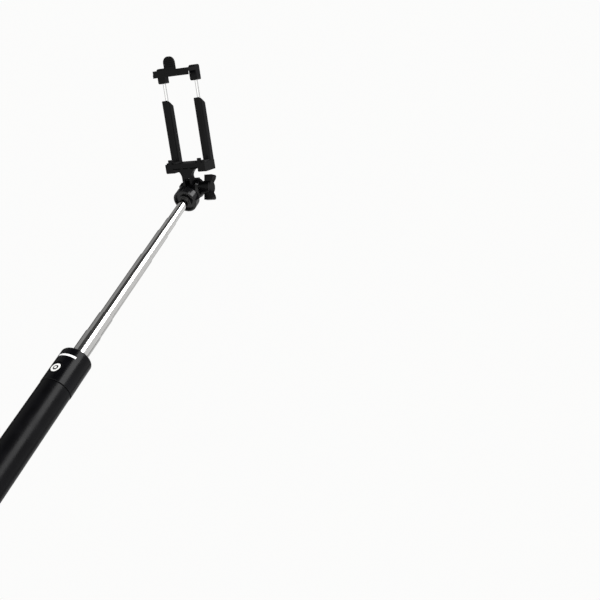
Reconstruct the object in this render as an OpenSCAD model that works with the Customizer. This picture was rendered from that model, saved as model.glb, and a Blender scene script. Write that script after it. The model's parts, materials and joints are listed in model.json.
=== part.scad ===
// Telescopic selfie stick with a Bluetooth shutter button and a sprung U-shaped phone clamp.
// Frame: the stick runs along +Z from the centre of its butt end, the hinge axis is along X,
// and the user stands on the -Y side, where the button and the phone's screen face.

/* [Handle] */
// Length of the whole handle, butt end to mouth
handle_len = 150; // [140:1:170]
// Diameter of the soft grip
grip_d = 25; // [24:0.1:27]
// Diameter of the collar that carries the button
collar_d = 25.6; // [25.2:0.1:28]
// Length of the collar
collar_len = 33; // [30:1:36]
// Height of the end cap's visible rim
cap_rim = 3; // [2:0.5:5]

/* [Rod] */
// Outer diameter of the largest moving tube
tube_d = 13.2; // [13:0.05:13.3]
// Step in diameter from one tube to the next
tube_step = 0.95; // [0.92:0.01:0.98]
// Wall thickness of a moving tube
tube_wall = 0.25; // [0.2:0.01:0.26]
// Longest stretch of a tube that can be pulled out
tube_stroke = 103; // [90:1:103]
// Stretch of a tube that stays out when the rod is pushed in
tube_stub = 1; // [0.8:0.1:1.5]
// How far each tube is pulled out, largest first
exposed = [25.5, 21, 73, 33, 18, 28.5]; // [15:0.5:100]

/* [Hinge] */
// Rear face of the head to the hinge axis
head_h = 21; // [21:0.5:26]
// Diameter of the head's round base
head_d = 22.4; // [20:0.2:24]
// Outer radius of the hinge prongs
prong_r = 8.5; // [8:0.1:8.6]
// Forward lean of the clamp from the line of the stick, in degrees
clamp_tilt = 65; // [-90:1:110]
// Turn of the wing knob, in degrees
knob_turn = 48; // [0:1:90]

/* [Clamp] */
// Width of the phone that sits in the clamp
phone_w = 77.8; // [63.5:0.1:89]
// Hinge axis to the underside of the phone
phone_z = 25.5; // [25.5:0.5:28]
// Centre line of an arm, from the middle of the clamp
arm_x = 17; // [17:0.5:19]
// Width and depth of an arm
arm_w = 8; // [7.5:0.1:8]
// Diameter of a jaw rod
rod_d = 2.6; // [2.4:0.1:2.6]
// Thickness of the rubber pads
pad_t = 1.2; // [1:0.1:1.4]

/* [Button] */
// Height of the button's centre above the butt end
button_z = 128.5; // [128:0.5:134]
// Diameter of the button
button_d = 9.1; // [8.5:0.1:9.2]
// Outer diameter of the white ring
ring_d = 8; // [7.4:0.1:8.2]
// Direction of the charging port round the handle, in degrees
port_az = 50; // [40:1:60]

/* [Hidden] */
$fn = 96;
eps = 0.01;

// Colours
black = [0.06, 0.06, 0.065];
rubber = [0.10, 0.10, 0.11];
gloss = [0.03, 0.03, 0.035];
steel = [0.80, 0.80, 0.82];
chrome = [0.90, 0.90, 0.92];
white = [0.95, 0.95, 0.95];

// Handle
grip_r = grip_d / 2;
collar_r = collar_d / 2;
seam_z = handle_len - collar_len;
seam_gap = 0.4;
bore_r = 11;
collar_in_r = 10.9;
collar_top = 3.5;
mouth_r = 8.2;

// Rod: radii and heights of tube n, counted 1 to 6 from the handle outwards
running = 0.08;
film_gap = 0.05;
insert_gap = 0.01;
function tube_r(n) = (tube_d - (n - 1) * tube_step) / 2;
function tube_in_r(n) = n == 0 ? tube_r(1) + 0.225 : tube_r(n) - tube_wall;
function reach(n) = n == 0 ? 0 : exposed[n - 1] + reach(n - 1);
tube_len = tube_stroke + 9;
head_grip = 8;
function tube_top(n) = handle_len + reach(n) + (n == 6 ? head_grip : 0);
function tube_bottom(n) = handle_len + reach(n) - tube_len;
outer_tube_wall = 0.3;
outer_tube_z = 33.5;

// Head and hinge, measured from the hinge axis
head_z = handle_len + reach(6);
hinge_z = head_z + head_h;
base_top = -11;
tongue_x = 2.4;
plate_in = 2.625;
plate_out = 5.025;
ear_in = 5.25;
ear_out = 8.35;
bolt_r = 2.475;
bolt_bore = 2.55;
boss_len = 4.4;
boss_d = 11.6;

// Knob
knob_x = ear_out + 0.9;
wing_x = 12.9;
knob_tip = 22;
wing_half = 11.4;
wing_waist = 18.5;
wing_t = 6;
stem_r = 6.2;

// Clamp, measured in its own upright frame from the hinge axis
arm_back = 9;
arm_front = arm_back - arm_w;
lip_t = 1.8;
lip_y = -9.4;
ledge_z = phone_z - pad_t;
bar_z = 19.3;
arm_low = 15.8;
arm_top = 74.8;
arm_rise = 6;
arm_bore_r = 2.5;
neck_front = lip_y;
neck_t = 4.6;
rod_y = (arm_back + arm_front) / 2;
bush_z = 62;
bush_len = 6;
spring_low = 37.5;
phone_top = phone_z + phone_w;
jaw_z = phone_top + pad_t;
block_low = phone_top - 7.5;
block_top = phone_top + 6;
block_w = 7.6;
roof_top = phone_top + 4.4;
bar_half = 18.5;
tab_r = 5.45;
tab_top = phone_top + 15.6;

// Button and board, as distances from the stick's axis towards -Y
board_in = 7.6;
board_out = 8.4;
board_low = 119;
board_top = 146;
switch_out = 8.95;
plunger_out = 9.05;
flange_out = 9.95;
flange_t = 0.45;
pad_in = 10;
pocket_in = 11.7;
ring_low = 11.2;
ring_out = 12.35;
ring_t = 1.8;
cap_out = 12.5;

// Places its children in the clamp's own frame
module in_clamp() {
    translate([0, 0, hinge_z])
        rotate([clamp_tilt, 0, 0])
            children();
}

// Places its children in the hinge's frame, in line with the stick
module in_head() {
    translate([0, 0, hinge_z])
        children();
}

// A cylinder along X from x0 to x1
module along_x(x0, x1, r) {
    translate([x0, 0, 0])
        rotate([0, 90, 0])
            cylinder(r = r, h = x1 - x0);
}

// A cylinder that points to -Y at the button, between two distances from the stick's axis
module at_button(d0, d1, r) {
    translate([0, -d0, button_z])
        rotate([90, 0, 0])
            cylinder(r = r, h = d1 - d0);
}

// A box given by its two corners
module block(a, b) {
    translate(a)
        cube([b[0] - a[0], b[1] - a[1], b[2] - a[2]]);
}

// Points of a rectangle w by h about its centre, with its four corner radii from the lower left
// corner round to the upper left
function rounded(w, h, radii) = [for (k = [0 : 3])
    let (sx = k == 1 || k == 2 ? 1 : -1, sy = k > 1 ? 1 : -1, r = radii[k])
        for (a = [180 + 90 * k : 18 : 270 + 90 * k])
            [sx * (w / 2 - r) + r * cos(a), sy * (h / 2 - r) + r * sin(a)]];

// A ring of revolution from a list of [radius, height] points
module turned(points) {
    rotate_extrude()
        polygon(points);
}

// ---------- handle ----------

module grip_sleeve() {
    color(rubber)
        turned([[bore_r, cap_rim + 0.05], [grip_r - 0.4, cap_rim + 0.05], [grip_r, cap_rim + 0.45],
            [grip_r, seam_z - seam_gap - 0.3], [grip_r - 0.3, seam_z - seam_gap],
            [bore_r, seam_z - seam_gap]]);
}

// The collar's outline, with a rounded shoulder at the mouth
module collar_profile() {
    shoulder = 2.2;
    low = seam_z;
    polygon(concat(
        [[collar_in_r, low], [collar_r - 0.3, low], [collar_r, low + 0.3]],
        [for (a = [0 : 10 : 90]) [collar_r - shoulder + shoulder * cos(a),
            handle_len - shoulder + shoulder * sin(a)]],
        [[mouth_r + 0.05, handle_len], [mouth_r + 0.05, handle_len - collar_top],
            [collar_in_r, handle_len - collar_top]]));
}

module collar_shell() {
    color(black)
        difference() {
            union() {
                rotate_extrude() collar_profile();
                intersection() {
                    at_button(pad_in, collar_r - 0.4, 7);
                    cylinder(r = collar_r - 0.2, h = handle_len - 1);
                }
            }
            at_button(pad_in - 1, collar_r + 1, button_d / 2 + 0.2);
            at_button(flange_out - 2, pad_in, 5.6);
            at_button(pocket_in, collar_r + 1, 5.6);
            mark_body(0.03);
            in_port() {
                block([11.4, -5.1, -5.4], [collar_r + 1, 5.1, 5.4]);
                block([9, -4.1, -1.7], [collar_r + 1, 4.1, 1.7]);
            }
        }
}

// Places its children with +X pointing out through the charging port
module in_port() {
    translate([0, 0, seam_z + 5.4])
        rotate([0, 0, port_az])
            children();
}

// A short plain bar above the button, inlaid in the collar
module mark_body(gap) {
    mark_w = 14.6;
    mark_h = 1.8;
    mark_x = 1.9;
    mark_z = handle_len - 8.5;
    intersection() {
        block([mark_x - mark_w / 2 - gap, -collar_r - 1, mark_z - mark_h / 2 - gap],
            [mark_x + mark_w / 2 + gap, -8, mark_z + mark_h / 2 + gap]);
        difference() {
            cylinder(r = collar_r, h = handle_len);
            cylinder(r = collar_r - 0.4 - gap, h = handle_len);
        }
    }
}

module collar_mark() {
    color(white) mark_body(0);
}

module end_cap() {
    plug_h = 11;
    edge = 1.2;
    color(black)
        difference() {
            turned(concat([[0, 0]],
                [for (a = [-90 : 15 : 0]) [grip_r - edge + edge * cos(a), edge + edge * sin(a)]],
                [[grip_r, cap_rim], [bore_r - 0.05, cap_rim], [bore_r - 0.05, cap_rim + plug_h],
                    [0, cap_rim + plug_h]]));
            lanyard_slot();
            rotate([0, 90, 0])
                translate([-1.9, 0, -4.5])
                    cylinder(r = 1.02, h = 9);
        }
}

// The pocket in the butt end that a wrist loop passes through
module lanyard_slot() {
    translate([0, 0, -1])
        linear_extrude(6)
            union() {
                square([7, 8], center = true);
                translate([0, 4]) circle(d = 7);
                translate([0, -4]) circle(d = 7);
            }
}

module lanyard_bar() {
    color(steel)
        translate([-4.45, 0, 1.9])
            rotate([0, 90, 0])
                cylinder(r = 1, h = 8.9);
}

// Carrier that centres the rod, holds the cell below it and the board beside it
module chassis() {
    carrier_r = 10.85;
    color("dimgray")
        difference() {
            translate([0, 0, 14.2])
                cylinder(r = carrier_r, h = handle_len - collar_top - 14.4);
            translate([0, 0, outer_tube_z - 0.1])
                cylinder(r = tube_in_r(0) + outer_tube_wall + 0.03, h = handle_len);
            translate([0, 0, 14])
                cylinder(r = 5.2, h = outer_tube_z - 14 - 1.2);
            block([-2.4, -12, 28], [2.4, -7.2, board_low]);
            block([-1.6, -12, 20], [1.6, -4, 40]);
            block([-12, -12, board_low - 0.2], [12, -board_in + 0.1, handle_len]);
            in_port() block([7.2, -4.6, -3], [12, 4.6, 3]);
            for (side = [-1, 1])
                for (z = [45 : 24 : 93])
                    block([side > 0 ? 8 : -12, -3.5, z], [side > 0 ? 12 : -8, 3.5, z + 16]);
        }
}

module outer_tube() {
    r = tube_in_r(0);
    color(steel)
        turned([[0, outer_tube_z], [r + outer_tube_wall, outer_tube_z],
            [r + outer_tube_wall, handle_len - 1], [r, handle_len - 1],
            [r, outer_tube_z + 1], [0, outer_tube_z + 1]]);
}

module mouth_ring() {
    r = tube_in_r(0) + outer_tube_wall + 0.02;
    low = handle_len - collar_top - 0.1;
    color(chrome)
        turned([[r, low], [mouth_r, low], [mouth_r, handle_len + 0.2], [mouth_r - 0.4, handle_len + 0.6],
            [tube_r(1) + 0.4, handle_len + 0.6], [tube_r(1) + running, handle_len + 0.3],
            [tube_r(1) + running, handle_len - 0.95], [r, handle_len - 0.95]]);
}

module battery_cell() {
    color("seagreen")
        union() {
            translate([0, 0, 14.6]) cylinder(r = 5, h = 16.6);
            translate([0, 0, 14.3]) cylinder(r = 1.8, h = 0.5);
        }
}

// Two leads from the cell to the board, in the carrier's groove
module battery_leads() {
    lead_r = 0.45;
    lead_low = 30;
    color("firebrick")
        for (x = [-1, 1])
            translate([x, -9, lead_low])
                cylinder(r = lead_r, h = board_low + 3 - lead_low, $fn = 24);
}

module circuit_board() {
    color("darkgreen")
        difference() {
            block([-5.4, -board_out, board_low], [5.4, -board_in, board_top]);
            for (z = [board_low + 3, board_top - 3])
                translate([4, 0, z])
                    rotate([90, 0, 0])
                        cylinder(r = 0.8, h = 12);
        }
}

// Radio, charger and memory packages on the board
module board_chips() {
    color(gloss) {
        block([-2.6, -board_out - 0.8, 136.4], [2.2, -board_out, 141.2]);
        block([-4.6, -board_out - 0.7, 142.4], [-1.4, -board_out, 145]);
        block([2.2, -board_out - 0.6, 122.6], [4.8, -board_out, 125.2]);
    }
}

module tact_switch() {
    color("silver") {
        block([-2.1, -switch_out, button_z - 2.1], [2.1, -board_out, button_z + 2.1]);
        at_button(switch_out - eps, plunger_out, 0.9);
    }
}

module status_leds() {
    color("aqua")
        for (z = [-3.4, 3.4])
            block([-0.8, -board_out - 0.5, button_z + z - 0.4], [0.8, -board_out, button_z + z + 0.4]);
}

module usb_socket() {
    color("silver")
        in_port()
            difference() {
                block([7.5, -3.9, -1.45], [11.3, 3.9, 1.45]);
                block([8.1, -3.5, -1.05], [12, 3.5, 1.05]);
            }
}

module port_cover() {
    color(rubber)
        difference() {
            intersection() {
                in_port()
                    union() {
                        block([11.72, -4.8, -5.05], [14, 4.8, 5.05]);
                        block([11.4, -3.2, -0.85], [12, 3.2, 0.85]);
                    }
                cylinder(r = collar_r + 0.02, h = handle_len);
            }
            in_port()
                translate([collar_r, 0, 4.4])
                    rotate([90, 0, 0])
                        cylinder(r = 0.5, h = 5, center = true);
        }
}

// ---------- shutter button ----------

module button_cap() {
    core_r = ring_d / 2 - ring_t;
    color(gloss)
        difference() {
            union() {
                at_button(flange_out - flange_t, flange_out, 5.3);
                at_button(flange_out - eps, ring_out - 0.05, button_d / 2);
                at_button(ring_low, cap_out, core_r);
            }
            difference() {
                at_button(ring_low, ring_out + 1, ring_d / 2 + insert_gap);
                at_button(ring_low - 1, ring_out + 2, core_r);
            }
            at_button(cap_out - 0.4, cap_out + 1, 1.12);
        }
}

module button_ring() {
    color(white)
        difference() {
            at_button(ring_low + insert_gap, ring_out, ring_d / 2);
            at_button(ring_low - 1, ring_out + 1, ring_d / 2 - ring_t + insert_gap);
        }
}

module button_dot() {
    color(white) at_button(cap_out - 0.39, cap_out + 0.05, 1.1);
}

// ---------- telescopic rod ----------

// Moving tube n with a rolled lip that guides the next tube
module tube(n) {
    r = tube_r(n);
    in_r = tube_in_r(n);
    lip_r = n == 6 ? in_r : tube_r(n + 1) + running;
    top = tube_top(n);
    color(steel)
        turned([[in_r, tube_bottom(n)], [r, tube_bottom(n)], [r, top - 0.7], [r - 0.08, top - 0.25],
            [r - 0.25, top], [lip_r, top], [lip_r, top - 1.2], [in_r, top - 1.5]]);
}

// Thin friction sleeve with a flange, snapped over the lower end of tube n
module bush(n) {
    low = tube_bottom(n);
    out_r = tube_in_r(n - 1) - film_gap;
    color("white")
        turned([[tube_in_r(n), low - 0.8], [out_r, low - 0.8], [out_r, low + 6],
            [tube_r(n) + insert_gap, low + 6], [tube_r(n) + insert_gap, low],
            [tube_in_r(n), low]]);
}

module tube_1() { tube(1); }
module tube_2() { tube(2); }
module tube_3() { tube(3); }
module tube_4() { tube(4); }
module tube_5() { tube(5); }
module tube_6() { tube(6); }
module bush_1() { bush(1); }
module bush_2() { bush(2); }
module bush_3() { bush(3); }
module bush_4() { bush(4); }
module bush_5() { bush(5); }
module bush_6() { bush(6); }

// Plug in the end of the last tube, with the pivot that the head turns on
module tip_plug() {
    top = tube_top(6);
    color("gray")
        turned([[0, top - 6], [tube_in_r(6) - insert_gap, top - 6], [tube_in_r(6) - insert_gap, top],
            [tube_r(6) - 0.1, top], [tube_r(6) - 0.1, top + 1], [0, top + 1]]);
}

// ---------- head and hinge ----------

// The straight root that joins a prong to the head's base
module prong_root(x0, x1) {
    foot = prong_r - 2.6;
    neck = prong_r - 1.3;
    neck_z = -4.5;
    translate([x0, 0, 0])
        rotate([90, 0, 90])
            linear_extrude(x1 - x0)
                polygon([[-foot, base_top - 1], [foot, base_top - 1], [neck, neck_z],
                    [-neck, neck_z]]);
}

// An outer prong: a disc at the hinge, bevelled on its outer side, on its root
module ear(side) {
    bevel = 1.8;
    rotate([0, 90 * side, 0])
        turned([[0, ear_in], [prong_r, ear_in], [prong_r, ear_out - bevel],
            [prong_r - bevel, ear_out], [0, ear_out]]);
    prong_root(side > 0 ? ear_in : -ear_out + bevel, side > 0 ? ear_out - bevel : -ear_in);
}

module head_base() {
    shoulder = 2.6;
    cup_r = head_d / 2;
    color(gloss)
        in_head()
            difference() {
                union() {
                    turned(concat([[0, -head_h], [cup_r - 0.6, -head_h], [cup_r, -head_h + 0.6]],
                        [for (a = [0 : 15 : 75]) [cup_r - shoulder + shoulder * cos(a),
                            base_top - shoulder + shoulder * sin(a)]],
                        [[cup_r - shoulder, base_top], [0, base_top]]));
                    ear(-1);
                    along_x(-tongue_x, tongue_x, prong_r);
                    prong_root(-tongue_x, tongue_x);
                    ear(1);
                    translate([-ear_out - boss_len, 0, 0])
                        rotate([0, 90, 0])
                            cylinder(d = boss_d, h = boss_len + eps, $fn = 6);
                }
                along_x(-20, 20, bolt_bore);
                translate([-ear_out - boss_len - 1, 0, 0])
                    rotate([0, 90, 0])
                        cylinder(d = 8.1 / cos(30), h = boss_len + 0.8, $fn = 6);
                translate([0, 0, -head_h - 1])
                    cylinder(r = tube_r(6) + film_gap, h = head_grip + 2.3);
                translate([0, 0, -head_h - 1])
                    difference() {
                        cylinder(r = cup_r - 1.8, h = 3);
                        cylinder(r = tube_r(6) + 2, h = 3);
                    }
            }
}

module hinge_nut() {
    color(steel)
        in_head()
            difference() {
                translate([-ear_out - boss_len + 0.1, 0, 0])
                    rotate([0, 90, 0])
                        cylinder(d = 8 / cos(30), h = 4, $fn = 6);
                along_x(-20, 0, bolt_r + 0.02);
            }
}

module knob_washer() {
    color(steel)
        in_head()
            difference() {
                along_x(ear_out + 0.05, ear_out + 0.8, 5);
                along_x(0, 20, bolt_bore);
            }
}

module hinge_bolt() {
    color(steel)
        in_head()
            along_x(-ear_out - boss_len + 0.6, 17, bolt_r);
}

// Two-winged thumb knob with a scooped outer face
module knob() {
    scoop = 12;
    waist = 18.9;
    color(black)
        in_head()
            rotate([knob_turn, 0, 0])
                difference() {
                    union() {
                        along_x(knob_x, waist, stem_r);
                        translate([0, wing_t / 2, 0])
                            rotate([90, 0, 0])
                                linear_extrude(wing_t)
                                    wing_outline();
                    }
                    translate([waist + scoop, 15, 0])
                        rotate([90, 0, 0])
                            cylinder(r = scoop, h = 30);
                    along_x(0, 17.05, bolt_r + insert_gap);
                }
}

// The wings seen from the side, with rounded tips
module wing_outline() {
    tip = 1.6;
    for (side = [-1, 1])
        hull() {
            translate([wing_x, side > 0 ? 0 : -wing_half]) square([1, wing_half]);
            translate([wing_waist, side > 0 ? 0 : -1]) square([1, 1]);
            translate([knob_tip - tip, side * (wing_half - tip)]) circle(r = tip, $fn = 32);
        }
}

// ---------- clamp ----------

// An arm with rounded edges, a slanted top and a bore for rod and spring
module arm(side) {
    difference() {
        intersection() {
            translate([side * arm_x, rod_y, arm_low])
                linear_extrude(arm_top + arm_rise - arm_low)
                    polygon(rounded(arm_w, arm_w, [2.2, 2.2, 1.4, 1.4]));
            translate([side * arm_x - 10, 0, 0])
                rotate([90, 0, 90])
                    linear_extrude(20)
                        polygon([[arm_front - 1, 0], [arm_back + 1, 0],
                            [arm_back + 1, arm_top - arm_rise / arm_w],
                            [arm_front - 1, arm_top + arm_rise + arm_rise / arm_w]]);
        }
        arm_bore(side);
    }
}

module arm_bore(side) {
    translate([side * arm_x, rod_y, arm_low - 1])
        cylinder(r = arm_bore_r, h = bush_z + bush_len + 0.05 - arm_low + 1);
    translate([side * arm_x, rod_y, arm_low - 1])
        cylinder(r = rod_d / 2 + 0.2, h = 100);
}

// The ledge under the phone: a cross-bar with a rounded front between two deeper feet, and a
// narrow hook in front of each arm
module ledge() {
    half = arm_x + arm_w / 2;
    inner = arm_x - arm_w / 2;
    hook_w = 3.4;
    hook_out = arm_x + 0.2;
    bar_section(-inner - eps, inner + eps, bar_z);
    for (side = [-1, 1]) {
        bar_section(side > 0 ? inner : -half, side > 0 ? half : -inner, arm_low);
        translate([side > 0 ? hook_out - hook_w : -hook_out, lip_y, ledge_z - 1])
            rotate([90, 0, 90])
                linear_extrude(hook_w)
                    translate([lip_t / 2, 2.2])
                        polygon(rounded(lip_t, 4.4 + pad_t, [0.1, 0.1, 0.5, 0.7]));
    }
}

// A length of the ledge from x0 to x1, from height low up to the pads
module bar_section(x0, x1, low) {
    depth = arm_back - 0.6 - lip_y;
    translate([x0, lip_y + depth / 2, (low + ledge_z) / 2])
        rotate([90, 0, 90])
            linear_extrude(x1 - x0)
                polygon(rounded(depth, ledge_z - low, [1.6, 0.4, 0.4, 0.1]));
}

// The neck seen from behind, spreading into the ledge with two arches
module neck_outline() {
    neck = plate_out;
    arch = arm_x - arm_w / 2 - neck;
    foot = bar_z - arch;
    translate([-neck, -prong_r]) square([2 * neck, bar_z + prong_r + eps]);
    for (side = [-1, 1])
        difference() {
            translate([side > 0 ? neck - eps : -neck - arch, foot]) square([arch + eps, arch + eps]);
            translate([side * (neck + arch), foot]) circle(r = arch);
        }
}

// The neck seen from the side: it leaves the hinge forwards and turns up into the ledge's front
module neck_side() {
    inside = 4.5;
    circle(r = prong_r);
    difference() {
        polygon([[-prong_r, 0], [neck_front, 4], [neck_front, bar_z + 1], [0, bar_z + 1],
            [prong_r - 1.5, 3]]);
        translate([neck_front + neck_t + inside, prong_r + inside + 0.5]) circle(r = inside);
        translate([neck_front + neck_t, prong_r + inside + 0.5]) square([30, 30]);
        translate([neck_front + neck_t + inside, prong_r + 0.5]) square([30, 30]);
    }
}

module bracket_frame() {
    slot_top = 10.6;
    color(black)
        in_clamp()
            difference() {
                union() {
                    arm(-1);
                    arm(1);
                    ledge();
                    intersection() {
                        translate([0, 20, 0])
                            rotate([90, 0, 0])
                                linear_extrude(40) neck_outline();
                        translate([-20, 0, 0])
                            rotate([90, 0, 90])
                                linear_extrude(40) neck_side();
                    }
                    for (x = [-plate_out, plate_in])
                        translate([x, 0, 0])
                            rotate([90, 0, 90])
                                linear_extrude(plate_out - plate_in) neck_side();
                }
                along_x(-plate_in, plate_in, prong_r + 0.5);
                block([-plate_in, neck_front - 1, 0], [plate_in, 0, slot_top]);
                for (side = [-1, 1])
                    along_x(side > 0 ? plate_out : -20, side > 0 ? 20 : -plate_out, prong_r + 0.5);
                along_x(-20, 20, bolt_bore);
                arm_bore(-1);
                arm_bore(1);
            }
}

module arm_plug(side) {
    color(black)
        in_clamp()
            translate([side * arm_x, rod_y, arm_low])
                cylinder(r = arm_bore_r - insert_gap, h = 3.5);
}

module guide_bush(side) {
    color("white")
        in_clamp()
            difference() {
                translate([side * arm_x, rod_y, bush_z])
                    cylinder(r = arm_bore_r - insert_gap, h = bush_len);
                translate([side * arm_x, rod_y, bush_z - 1])
                    cylinder(r = rod_d / 2 + running, h = bush_len + 2);
            }
}

module lower_pad(side) {
    inner = arm_x + arm_w / 2 - 11.6;
    outer = arm_x + arm_w / 2 - 0.4;
    color(rubber)
        in_clamp()
            block([side > 0 ? inner : -outer, lip_y + lip_t + 0.02, ledge_z + insert_gap],
                [side > 0 ? outer : -inner, arm_front - 0.02, phone_z]);
}

// Points on one ring of the spring wire, at turn angle a and height z
function wire_ring(coil_r, wire_r, a, z, sides) =
    [for (i = [0 : sides - 1])
        let (b = 360 * i / sides, r = coil_r + wire_r * cos(b))
            [r * cos(a), r * sin(a), z + wire_r * sin(b)]];

// A helical compression spring from height 0 to h
module spring(coil_r, wire_r, turns, h) {
    sides = 6;
    steps = 16 * turns;
    low = wire_r;
    high = h - wire_r;
    points = [for (k = [0 : steps])
        each wire_ring(coil_r, wire_r, 360 * turns * k / steps, low + (high - low) * k / steps, sides)];
    walls = [for (k = [0 : steps - 1]) for (i = [0 : sides - 1])
        let (j = (i + 1) % sides, p = k * sides, q = p + sides)
            each [[p + i, q + i, q + j], [p + i, q + j, p + j]]];
    ends = [[for (i = [0 : sides - 1]) i], [for (i = [sides - 1 : -1 : 0]) steps * sides + i]];
    polyhedron(points, concat(walls, ends));
}

module jaw_spring(side) {
    color(steel)
        in_clamp()
            translate([side * arm_x, rod_y, spring_low + 0.02])
                spring(1.92, 0.24, 12, bush_z - spring_low - 0.04);
}

// The jaw's plan: a front bar joined to both rod blocks by a slanting link
module jaw_plan() {
    back = arm_x + block_w / 2;
    link_in = arm_x - block_w / 2 + 0.8;
    bar_y = lip_y + 4.8;
    polygon([[-bar_half, lip_y + 1.2], [-bar_half + 1.2, lip_y], [bar_half - 1.2, lip_y],
        [bar_half, lip_y + 1.2], [back, arm_front], [back, arm_front + 2], [link_in, arm_front + 2],
        [link_in, arm_front], [bar_half - 4.4, bar_y], [-bar_half + 4.4, bar_y],
        [-link_in, arm_front], [-link_in, arm_front + 2], [-back, arm_front + 2], [-back, arm_front]]);
}

module upper_jaw() {
    lip_low = phone_top - 1.7;
    color(black)
        in_clamp()
            difference() {
                union() {
                    for (side = [-1, 1])
                        translate([side * arm_x, 0, 0])
                            jaw_block();
                    translate([0, 0, jaw_z])
                        linear_extrude(roof_top - jaw_z)
                            jaw_plan();
                    translate([0, lip_y + lip_t / 2, (lip_low + jaw_z) / 2])
                        linear_extrude(jaw_z - lip_low + eps, center = true)
                            polygon(rounded(2 * bar_half, lip_t, [0.8, 0.8, 0.2, 0.2]));
                }
                for (side = [-1, 1])
                    translate([side * arm_x, rod_y, block_low - 1])
                        cylinder(r = rod_d / 2 + insert_gap, h = 12);
                block([-tab_r - 0.02, lip_y + 0.3, jaw_z + 1], [tab_r + 0.02, lip_y + 2.9, roof_top + 1]);
            }
}

// The block that grips one rod, rounded on its back corners, top and bottom
module jaw_block() {
    height = block_top - block_low;
    intersection() {
        translate([0, rod_y, block_low])
            linear_extrude(height)
                polygon(rounded(block_w, arm_w, [0.6, 0.6, 1.8, 1.8]));
        translate([0, arm_back + 1, block_low + height / 2])
            rotate([90, 0, 0])
                linear_extrude(arm_w + 2)
                    polygon(rounded(block_w, height, [1.8, 1.8, 2.6, 2.6]));
    }
}

// The ribbed thumb tab that pulls the jaw open
module thumb_tab() {
    root = jaw_z + 1.02;
    centre = tab_top - tab_r;
    groove_pitch = 1.6;
    groove_r = 0.3;
    color(rubber)
        in_clamp()
            difference() {
                translate([0, lip_y + 2.88, 0])
                    rotate([90, 0, 0])
                        linear_extrude(2.56)
                            union() {
                                translate([0, centre]) circle(r = tab_r);
                                translate([-tab_r, root]) square([2 * tab_r, centre - root]);
                            }
                for (rise = [-3.2 : groove_pitch : 3.2])
                    translate([0, lip_y + 0.32, centre + rise])
                        rotate([0, 90, 0])
                            cylinder(r = groove_r, h = 2 * sqrt(pow(tab_r - 1.2, 2) - pow(max(0, rise), 2)),
                                center = true, $fn = 24);
            }
}

module jaw_pad() {
    half = bar_half - 1;
    color(rubber)
        in_clamp()
            block([-half + 4, lip_y + lip_t + 0.02, phone_top], [half - 4, lip_y + 4.7, jaw_z - insert_gap]);
}

module rod(side) {
    color(chrome)
        in_clamp()
            translate([side * arm_x, rod_y, spring_low - 1.5 - eps])
                cylinder(r = rod_d / 2, h = block_low + 10.8 - spring_low + 1.5);
}

module rod_stop(side) {
    color(steel)
        in_clamp()
            difference() {
                translate([side * arm_x, rod_y, spring_low - 1.5])
                    cylinder(r = arm_bore_r - 0.2, h = 1.5);
                translate([side * arm_x, rod_y, spring_low - 3])
                    cylinder(r = rod_d / 2 + insert_gap, h = 6);
            }
}

module arm_plug_left() { arm_plug(-1); }
module arm_plug_right() { arm_plug(1); }
module guide_bush_left() { guide_bush(-1); }
module guide_bush_right() { guide_bush(1); }
module lower_pad_left() { lower_pad(-1); }
module lower_pad_right() { lower_pad(1); }
module jaw_spring_left() { jaw_spring(-1); }
module jaw_spring_right() { jaw_spring(1); }
module rod_left() { rod(-1); }
module rod_right() { rod(1); }
module rod_stop_left() { rod_stop(-1); }
module rod_stop_right() { rod_stop(1); }

grip_sleeve();
collar_shell();
collar_mark();
end_cap();
lanyard_bar();
chassis();
outer_tube();
mouth_ring();
battery_cell();
battery_leads();
circuit_board();
board_chips();
tact_switch();
status_leds();
usb_socket();
port_cover();
button_cap();
button_ring();
button_dot();
tube_1();
tube_2();
tube_3();
tube_4();
tube_5();
tube_6();
bush_1();
bush_2();
bush_3();
bush_4();
bush_5();
bush_6();
tip_plug();
head_base();
hinge_nut();
knob_washer();
hinge_bolt();
knob();
bracket_frame();
arm_plug_left();
arm_plug_right();
guide_bush_left();
guide_bush_right();
lower_pad_left();
lower_pad_right();
jaw_spring_left();
jaw_spring_right();
upper_jaw();
thumb_tab();
jaw_pad();
rod_left();
rod_right();
rod_stop_left();
rod_stop_right();
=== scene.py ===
import json
import math

import bmesh
import bpy
from mathutils import Matrix, Vector

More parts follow.
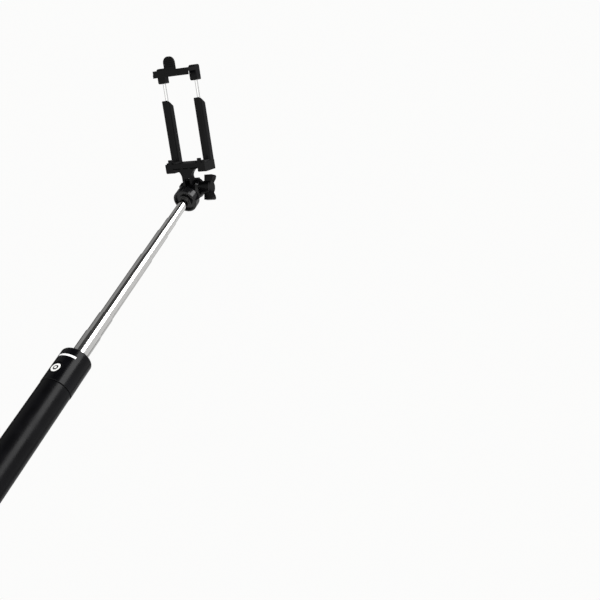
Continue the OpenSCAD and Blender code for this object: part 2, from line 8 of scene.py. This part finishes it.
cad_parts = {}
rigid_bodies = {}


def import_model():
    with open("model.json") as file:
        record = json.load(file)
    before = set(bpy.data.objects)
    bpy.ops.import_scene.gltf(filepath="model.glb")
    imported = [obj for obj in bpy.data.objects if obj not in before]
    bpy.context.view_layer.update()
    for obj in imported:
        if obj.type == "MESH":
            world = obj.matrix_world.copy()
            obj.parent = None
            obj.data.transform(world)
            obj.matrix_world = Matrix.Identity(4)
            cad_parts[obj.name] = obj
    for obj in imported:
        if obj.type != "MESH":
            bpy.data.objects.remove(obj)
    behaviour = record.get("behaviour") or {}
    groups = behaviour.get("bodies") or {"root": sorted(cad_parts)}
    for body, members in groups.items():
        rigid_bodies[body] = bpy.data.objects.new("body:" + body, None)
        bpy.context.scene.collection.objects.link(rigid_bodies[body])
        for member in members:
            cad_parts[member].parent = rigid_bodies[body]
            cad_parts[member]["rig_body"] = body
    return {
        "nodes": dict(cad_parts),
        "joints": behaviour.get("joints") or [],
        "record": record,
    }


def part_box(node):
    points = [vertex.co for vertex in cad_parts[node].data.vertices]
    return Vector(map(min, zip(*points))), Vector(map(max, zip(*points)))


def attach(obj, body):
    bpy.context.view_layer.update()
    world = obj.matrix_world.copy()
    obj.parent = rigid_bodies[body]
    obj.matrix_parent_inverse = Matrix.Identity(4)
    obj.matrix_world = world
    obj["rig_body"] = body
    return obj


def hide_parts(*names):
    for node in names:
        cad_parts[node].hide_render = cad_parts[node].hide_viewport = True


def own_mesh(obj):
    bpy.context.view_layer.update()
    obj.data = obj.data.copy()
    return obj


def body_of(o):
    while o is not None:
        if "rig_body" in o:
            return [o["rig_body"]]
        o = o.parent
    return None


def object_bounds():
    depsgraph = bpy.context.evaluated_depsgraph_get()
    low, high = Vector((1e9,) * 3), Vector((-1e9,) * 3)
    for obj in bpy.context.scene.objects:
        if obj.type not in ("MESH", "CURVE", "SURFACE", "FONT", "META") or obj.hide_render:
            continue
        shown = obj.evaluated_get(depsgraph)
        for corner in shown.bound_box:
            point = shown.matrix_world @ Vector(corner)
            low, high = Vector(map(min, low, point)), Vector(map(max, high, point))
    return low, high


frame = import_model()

# A telescopic selfie stick: this script finishes its mouldings, gives every part its material,
# and sets the floor, the lights and the camera. All lengths are in metres, unless a name says mm.
MM = 0.001
CAD_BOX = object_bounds()
NODES = frame["nodes"]
SLOT_OF = {part["node"]: part["material_slot"] for part in frame["record"]["subparts"]}


def middle(node):
    """The centre of a CAD node's box."""
    low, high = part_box(node)
    return (low + high) / 2


STICK_MIDDLE = (CAD_BOX[0] + CAD_BOX[1]) / 2
HINGE = Vector((0, *middle("hinge_bolt").yz))
JAW_SLIDE = next(j for j in frame["joints"] if j["name"] == "jaw_slide")
ACROSS = Vector((1, 0, 0))
CLAMP_UP = Vector(JAW_SLIDE["axis"])
CLAMP_BACK = CLAMP_UP.cross(ACROSS)


def in_clamp(x, y, z):
    """A place given in the clamp's own upright frame, measured from the hinge."""
    return HINGE + x * ACROSS + y * CLAMP_BACK + z * CLAMP_UP


def clamp_box(node):
    """A CAD node's lowest and highest reach along the clamp's three directions."""
    places = [v.co - HINGE for v in NODES[node].data.vertices]
    reach = [[p.dot(way) for p in places] for way in (ACROSS, CLAMP_BACK, CLAMP_UP)]
    return [(min(r), max(r)) for r in reach]


# ---------- materials ----------

class Graph:
    """The node tree of a material or of the surroundings, written as nested calls."""

    def __init__(self, owner):
        owner.use_nodes = True
        self.tree = owner.node_tree

    def node(self, kind, inputs=None, **settings):
        made = self.tree.nodes.new(kind)
        for key, value in settings.items():
            setattr(made, key, value)
        for key, value in (inputs or {}).items():
            self.set(made.inputs[key], value)
        return made

    def set(self, socket, value):
        if isinstance(value, bpy.types.NodeSocket):
            self.tree.links.new(value, socket)
        else:
            socket.default_value = value

    def math(self, operation, *values):
        return self.node("ShaderNodeMath", dict(enumerate(values)), operation=operation).outputs[0]


class Finish(Graph):
    """A surface's material, with textures in object coordinates."""

    def __init__(self, name):
        self.material = bpy.data.materials.new(name)
        super().__init__(self.material)
        self.shader = self.tree.nodes["Principled BSDF"]
        self.place = self.node("ShaderNodeTexCoord").outputs["Object"]

    def stretched(self, scale):
        """Object coordinates stretched by three factors."""
        return self.node("ShaderNodeMapping", {"Vector": self.place, "Scale": scale}).outputs[0]

    def noise(self, size_mm, detail=2.0, stretch=(1, 1, 1), distortion=0.0):
        """Noise whose features measure about size_mm."""
        return self.node("ShaderNodeTexNoise", {
            "Vector": self.stretched(stretch), "Scale": 1 / (size_mm * MM),
            "Detail": detail, "Distortion": distortion}).outputs["Fac"]

    def remap(self, value, low, high, start=0.3, end=0.7):
        """A value between start and end, spread over low to high."""
        return self.node("ShaderNodeMapRange", {
            "Value": value, "From Min": start, "From Max": end,
            "To Min": low, "To Max": high}).outputs[0]

    def mix(self, share, a, b):
        """Two colours mixed; a share of 1 is all b."""
        mixed = self.node("ShaderNodeMix", data_type="RGBA")
        self.set(mixed.inputs[0], share)
        self.set(mixed.inputs[6], a if isinstance(a, bpy.types.NodeSocket) else (*a, 1))
        self.set(mixed.inputs[7], b if isinstance(b, bpy.types.NodeSocket) else (*b, 1))
        return mixed.outputs[2]

    def bump(self, height, depth_mm, strength=1.0, over=None):
        made = self.node("ShaderNodeBump", {
            "Height": height, "Distance": depth_mm * MM, "Strength": strength})
        if over is not None:
            self.set(made.inputs["Normal"], over)
        return made.outputs[0]

    def finish(self, **inputs):
        """Sets the shader's sockets, named with _ for a space, and returns the material."""
        for key, value in inputs.items():
            name = key.replace("_", " ")
            if isinstance(value, tuple) and len(value) == 3:
                value = (*value, 1)
            self.set(self.shader.inputs[name], value)
        return self.material


CLOUD_MM = 14
RUB_MM = 2.5
SWELL_MM = 6
SWELL_DEPTH_MM = 0.02
SMUDGE_MM = 9


def moulded(name, color, roughness, grain_mm, grain_depth_mm, shift=0.35, worn_color=None,
            specular=0.5):
    """Moulded plastic or rubber: cloudy colour, fine texture, dull dust and polished edges."""
    g = Finish(name)
    cloud = g.noise(CLOUD_MM, 3)
    speck = g.noise(grain_mm * 3, 2)
    grain = g.noise(grain_mm, 2)
    dark = tuple(c * (1 - shift) for c in color)
    light = tuple(c * (1 + shift) for c in color)
    worn_color = worn_color or tuple(c * 2 + 0.004 for c in color)
    base = g.mix(g.remap(cloud, 0, 1), dark, light)
    base = g.mix(g.remap(speck, 0, 0.5, start=0.55, end=0.8), base, light)
    worn = g.node("ShaderNodeAttribute", attribute_name="worn").outputs["Fac"]
    rub = g.math("MULTIPLY", worn, g.remap(g.noise(RUB_MM, 3), 0, 1, start=0.4, end=0.62))
    base = g.mix(rub, base, worn_color)
    dust = g.math("ADD", g.math("MULTIPLY", cloud, 0.6), g.math("MULTIPLY", speck, 0.4))
    dull = g.remap(dust, roughness - 0.06, roughness + 0.08)
    rough = g.math("SUBTRACT", dull, g.math("MULTIPLY", rub, roughness * 0.3))
    swell = g.bump(g.noise(SWELL_MM, 1), SWELL_DEPTH_MM, 0.5)
    return g.finish(Base_Color=base, Roughness=rough, Specular_IOR_Level=specular,
                    Normal=g.bump(grain, grain_depth_mm, 0.8, swell))


ALONG_Z = (1, 1, 0.02)
ALONG_X = (0.05, 1, 1)


def metal(name, color, roughness, lines=(1, 1, 1), line_mm=0.4, depth_mm=0.002, smudge=0.08):
    """Polished or drawn metal: faint lines along one direction and a few dull smudges."""
    g = Finish(name)
    drawn = g.noise(line_mm, 2, lines)
    patch = g.noise(SMUDGE_MM, 3, distortion=0.6)
    tint = tuple(c * 0.82 for c in color)
    base = g.mix(g.remap(patch, 0, 0.5), color, tint)
    base = g.mix(g.remap(drawn, 0, 0.35), base, tint)
    rough = g.math("ADD", g.remap(drawn, roughness * 0.7, roughness * 1.3),
                   g.remap(patch, 0, smudge, start=0.52, end=0.75))
    return g.finish(Base_Color=base, Metallic=1.0, Roughness=rough,
                    Normal=g.bump(drawn, depth_mm, 0.5))


def circuit_green():
    """Solder mask over copper tracks that run in steps along the board."""
    g = Finish("board_green")
    track = g.node("ShaderNodeTexBrick", {
        "Vector": g.stretched((1, 1, 1)), "Scale": 180.0, "Mortar Size": 0.06,
        "Color1": (0.01, 0.09, 0.035, 1), "Color2": (0.012, 0.12, 0.045, 1),
        "Mortar": (0.03, 0.2, 0.08, 1)})
    cloud = g.noise(3, 2)
    base = g.mix(g.remap(cloud, 0, 0.3), track.outputs["Color"], (0.02, 0.06, 0.03))
    return g.finish(Base_Color=base, Roughness=g.remap(cloud, 0.22, 0.4), Coat_Weight=0.4,
                    Normal=g.bump(track.outputs["Fac"], 0.03, 0.6))


def lens():
    """The milky dome of a small indicator lamp."""
    g = Finish("led_lens")
    haze = g.noise(0.6, 2)
    return g.finish(Base_Color=g.mix(haze, (0.75, 0.82, 0.85), (0.9, 0.93, 0.95)),
                    Roughness=g.remap(haze, 0.15, 0.35), Transmission_Weight=0.35)


# Each slot's colour, roughness, grain and grain depth in mm, then its own settings
PLASTICS = {
    "grip_rubber": ((0.0016, 0.0016, 0.0022), 0.31, 0.22, 0.010, {"specular": 0.14}),
    "black_plastic": ((0.0016, 0.0016, 0.0024), 0.25, 0.3, 0.008, {"specular": 0.15}),
    "satin_black": ((0.0018, 0.0018, 0.0022), 0.30, 0.34, 0.010, {"specular": 0.12}),
    "gloss_black": ((0.0026, 0.0026, 0.003), 0.13, 0.5, 0.002, {"specular": 0.3}),
    "pad_rubber": ((0.006, 0.006, 0.0065), 0.6, 0.18, 0.02, {"specular": 0.2}),
    "grey_plastic": ((0.16, 0.16, 0.165), 0.42, 0.3, 0.01, {"shift": 0.12}),
    "white_plastic": ((0.82, 0.82, 0.81), 0.28, 0.4, 0.004,
                      {"shift": 0.03, "worn_color": (0.7, 0.69, 0.66)}),
    "white_print": ((0.84, 0.84, 0.84), 0.4, 0.25, 0.006,
                    {"shift": 0.04, "worn_color": (0.6, 0.6, 0.6)}),
    "white_bush": ((0.72, 0.71, 0.68), 0.38, 0.3, 0.006,
                   {"shift": 0.06, "worn_color": (0.6, 0.59, 0.55)}),
    "cell_wrap": ((0.03, 0.16, 0.09), 0.26, 0.8, 0.01, {"shift": 0.1}),
    "lead_red": ((0.42, 0.02, 0.015), 0.4, 0.3, 0.006, {"shift": 0.1}),
    "chip_black": ((0.02, 0.02, 0.022), 0.5, 0.15, 0.008, {}),
}
# Each slot's colour and roughness, then its own settings
METALS = {
    "tube_steel": ((0.80, 0.795, 0.78), 0.09, {"lines": ALONG_Z, "line_mm": 0.25}),
    "bright_chrome": ((0.88, 0.88, 0.88), 0.05,
                      {"line_mm": 1.2, "depth_mm": 0.001, "smudge": 0.05}),
    "steel_pin": ((0.56, 0.56, 0.57), 0.24, {"lines": ALONG_X, "line_mm": 0.2, "depth_mm": 0.004}),
    "switch_metal": ((0.66, 0.66, 0.65), 0.3, {"line_mm": 0.3, "depth_mm": 0.004}),
    "spring_steel": ((0.5, 0.5, 0.5), 0.22, {"line_mm": 0.2, "depth_mm": 0.003}),
}
MATERIALS = {"board_green": circuit_green(), "led_lens": lens()}
for make, looks in ((moulded, PLASTICS), (metal, METALS)):
    for slot, (*look, more) in looks.items():
        MATERIALS[slot] = make(slot, *look, **more)

for node, obj in NODES.items():
    for socket in obj.material_slots:
        socket.material = MATERIALS[SLOT_OF[node]]


# ---------- finished mouldings, pads and springs ----------

SHARP_DEGREES = 28
ROLL_SEGMENTS = 3
WELD_MM = 0.002
FLAT_DEGREES = 0.8


def piece(name, bm, node, smooth_degrees=30):
    """Turns a bmesh into an object that stands for a CAD node and moves with its body."""
    mesh = bpy.data.meshes.new(name)
    bmesh.ops.recalc_face_normals(bm, faces=bm.faces)
    bm.to_mesh(mesh)
    bm.free()
    mesh.shade_smooth()
    mesh.set_sharp_from_angle(angle=math.radians(smooth_degrees))
    mesh.materials.append(MATERIALS[SLOT_OF[node]])
    obj = bpy.data.objects.new(name, mesh)
    bpy.context.scene.collection.objects.link(obj)
    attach(obj, body_of(NODES[node])[0])
    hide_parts(node)
    return obj


def cad_copy(node):
    """A CAD node's mesh with its flat faces whole again."""
    bm = bmesh.new()
    bm.from_mesh(NODES[node].data)
    bmesh.ops.remove_doubles(bm, verts=bm.verts, dist=WELD_MM * MM)
    bmesh.ops.dissolve_limit(bm, angle_limit=math.radians(FLAT_DEGREES),
                             verts=bm.verts, edges=bm.edges)
    return bm


def rolled(bm, width_mm):
    """Rolls every sharp edge and marks the rolled strip as worn."""
    sharp = [e for e in bm.edges if len(e.link_faces) == 2
             and e.calc_face_angle() > math.radians(SHARP_DEGREES)]
    made = bmesh.ops.bevel(bm, geom=sharp, offset=width_mm * MM, offset_type="OFFSET",
                           segments=ROLL_SEGMENTS, profile=0.5, affect="EDGES",
                           clamp_overlap=True, loop_slide=True)
    strip = set(made["faces"])
    worn = bm.verts.layers.float.new("worn")
    for v in made["verts"]:
        if v.is_valid and all(f in strip for f in v.link_faces):
            v[worn] = 1.0
    return bm


# How wide the edges of each moulding are rolled, in mm
EDGE_ROLLS = {
    "bracket_frame": 0.35, "upper_jaw": 0.3, "head_base": 0.3, "knob": 0.5, "thumb_tab": 0.25,
    "collar_shell": 0.15, "port_cover": 0.12, "end_cap": 0.25, "button_cap": 0.12,
    "button_ring": 0.15, "hinge_nut": 0.2, "knob_washer": 0.12,
}
for node, width_mm in EDGE_ROLLS.items():
    moulding = piece(node + "_moulded", rolled(cad_copy(node), width_mm), node)
    moulding.modifiers.new("flat_faces", "WEIGHTED_NORMAL").keep_sharp = True

RIB_PITCH = 1.7 * MM
RIB_DEPTH = 0.38 * MM
RIB_STEPS = 10
RIB_FULLNESS = 0.7
PAD_EDGE = 0.3 * MM
PAD_SMOOTH_DEGREES = 45


def ribbed_pad(node, facing):
    """A rubber pad with round ribs along X that bear on the phone; facing is 1 up, -1 down."""
    (x0, x1), (y0, y1), (z0, z1) = clamp_box(node)
    top, foot = (z1, z0) if facing > 0 else (z0, z1)
    ribs = round((y1 - y0) / RIB_PITCH)
    steps = ribs * RIB_STEPS
    bm = bmesh.new()
    rings = []
    for x, inset in ((x0, PAD_EDGE), (x0 + PAD_EDGE, 0), (x1 - PAD_EDGE, 0), (x1, PAD_EDGE)):
        ring = [(y0 + inset, foot)]
        for i in range(steps + 1):
            round_top = abs(math.sin(math.pi * ribs * i / steps)) ** RIB_FULLNESS
            ring.append((y0 + inset + (y1 - y0 - 2 * inset) * i / steps,
                         top - facing * (RIB_DEPTH * (1 - round_top) + inset)))
        ring.append((y1 - inset, foot))
        rings.append([bm.verts.new(in_clamp(x, y, z)) for y, z in ring])
    for a, b in zip(rings, rings[1:]):
        for i in range(len(a)):
            j = (i + 1) % len(a)
            bm.faces.new((a[i], a[j], b[j], b[i]))
    bm.faces.new(rings[0])
    bm.faces.new(rings[-1][::-1])
    piece(node + "_ribbed", bm, node, PAD_SMOOTH_DEGREES)


def jaw_spring(node):
    """A spring copied from its CAD node, with a mesh of its own."""
    coil = piece(node + "_coil", cad_copy(node), node)
    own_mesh(coil)


ribbed_pad("lower_pad_left", 1)
ribbed_pad("lower_pad_right", 1)
ribbed_pad("jaw_pad", -1)
jaw_spring("jaw_spring_left")
jaw_spring("jaw_spring_right")


# ---------- floor, surroundings, lights and camera ----------

def look_at(obj, target, roll=0.0):
    """Points a lamp or camera at a place, then rolls it about its own axis."""
    facing = (target - obj.location).to_track_quat("-Z", "Y")
    obj.rotation_euler = (facing.to_matrix() @ Matrix.Rotation(roll, 3, "Z")).to_euler()


# The camera looks up at the stick, so the floor lies low enough to stay out of its view.
FLOOR_HALF = 6.0
FLOOR_Z = -0.32
floor_mesh = bpy.data.meshes.new("floor")
floor_mesh.from_pydata([(x * FLOOR_HALF, y * FLOOR_HALF, FLOOR_Z)
                        for x, y in ((-1, -1), (1, -1), (1, 1), (-1, 1))], [], [(0, 1, 2, 3)])
floor = bpy.data.objects.new("floor", floor_mesh)
bpy.context.scene.collection.objects.link(floor)
floor_finish = Finish("pale_floor")
floor_mesh.materials.append(floor_finish.finish(
    Base_Color=floor_finish.mix(floor_finish.noise(120, 3), (0.80, 0.80, 0.79), (0.83, 0.83, 0.82)),
    Roughness=0.7))

# The backdrop is near-white to the eye, and even on dull surfaces. Polished ones mirror a
# dark ceiling, and low down a wall that brightens towards +X.
SEEN, SCATTERED, CEILING, WALL = 0.97, 0.85, 0.06, 0.62
WALL_TOP, WALL_FULL = 0.42, 0.10
world = bpy.data.worlds.new("studio")
world.cycles.sampling_method = "NONE"
bpy.context.scene.world = world
studio = Graph(world)
direction = studio.node("ShaderNodeTexCoord").outputs["Generated"]
facing = studio.node("ShaderNodeSeparateXYZ", {0: direction}).outputs
low_down = studio.node("ShaderNodeMapRange", {
    "Value": facing["Z"], "From Min": WALL_TOP, "From Max": WALL_FULL}).outputs[0]
toward_x = studio.math("MULTIPLY_ADD", facing["X"], 0.5, 0.5)
wall = studio.math("MULTIPLY", low_down, toward_x)
mirrored = studio.math("MULTIPLY_ADD", wall, WALL, CEILING)
ray = studio.node("ShaderNodeLightPath").outputs
unseen = studio.node("ShaderNodeMix", {0: ray["Is Diffuse Ray"], 2: mirrored, 3: SCATTERED})
strength = studio.node("ShaderNodeMix", {0: ray["Is Camera Ray"], 2: unseen.outputs[0], 3: SEEN})
backdrop = studio.tree.nodes["Background"]
studio.set(backdrop.inputs["Color"], (1.0, 1.0, 0.995, 1))
studio.set(backdrop.inputs["Strength"], strength.outputs[0])
bpy.context.scene.view_settings.view_transform = "Standard"

LAMP_DISTANCE = 1.2


def softbox(name, azimuth, elevation, width, height, power):
    """A soft lamp aimed at the stick's middle: azimuth 0 is +X, and 90 is +Y."""
    data = bpy.data.lights.new(name, "AREA")
    data.shape = "RECTANGLE"
    data.size, data.size_y, data.energy = width, height, power
    lamp = bpy.data.objects.new(name, data)
    a, e = math.radians(azimuth), math.radians(elevation)
    lamp.location = STICK_MIDDLE + LAMP_DISTANCE * Vector(
        (math.cos(a) * math.cos(e), math.sin(a) * math.cos(e), math.sin(e)))
    look_at(lamp, STICK_MIDDLE)
    bpy.context.scene.collection.objects.link(lamp)


# Azimuth and elevation in degrees, width and height in metres, power in watts
softbox("key", -32, 36, 0.76, 1.2, 16.5)
softbox("side", 30, 36, 1.39, 1.1, 3.1)
softbox("left", -142, 34, 1.15, 1.1, 0.9)
softbox("back", 112, 36, 1.6, 1.1, 2.8)

CAMERA_FROM_HINGE = Vector((0.4564, -0.3995, -0.5962))
AIM_FROM_HINGE = Vector((0.0886, 0.1042, -0.0384))
CAMERA_ROLL = math.radians(25.98)
camera_data = bpy.data.cameras.new("camera")
camera_data.sensor_width = 36
camera_data.lens = 54.55
camera_data.clip_start = 0.01
camera = bpy.data.objects.new("camera", camera_data)
camera.location = HINGE + CAMERA_FROM_HINGE
look_at(camera, HINGE + AIM_FROM_HINGE, CAMERA_ROLL)
bpy.context.scene.collection.objects.link(camera)
bpy.context.scene.camera = camera
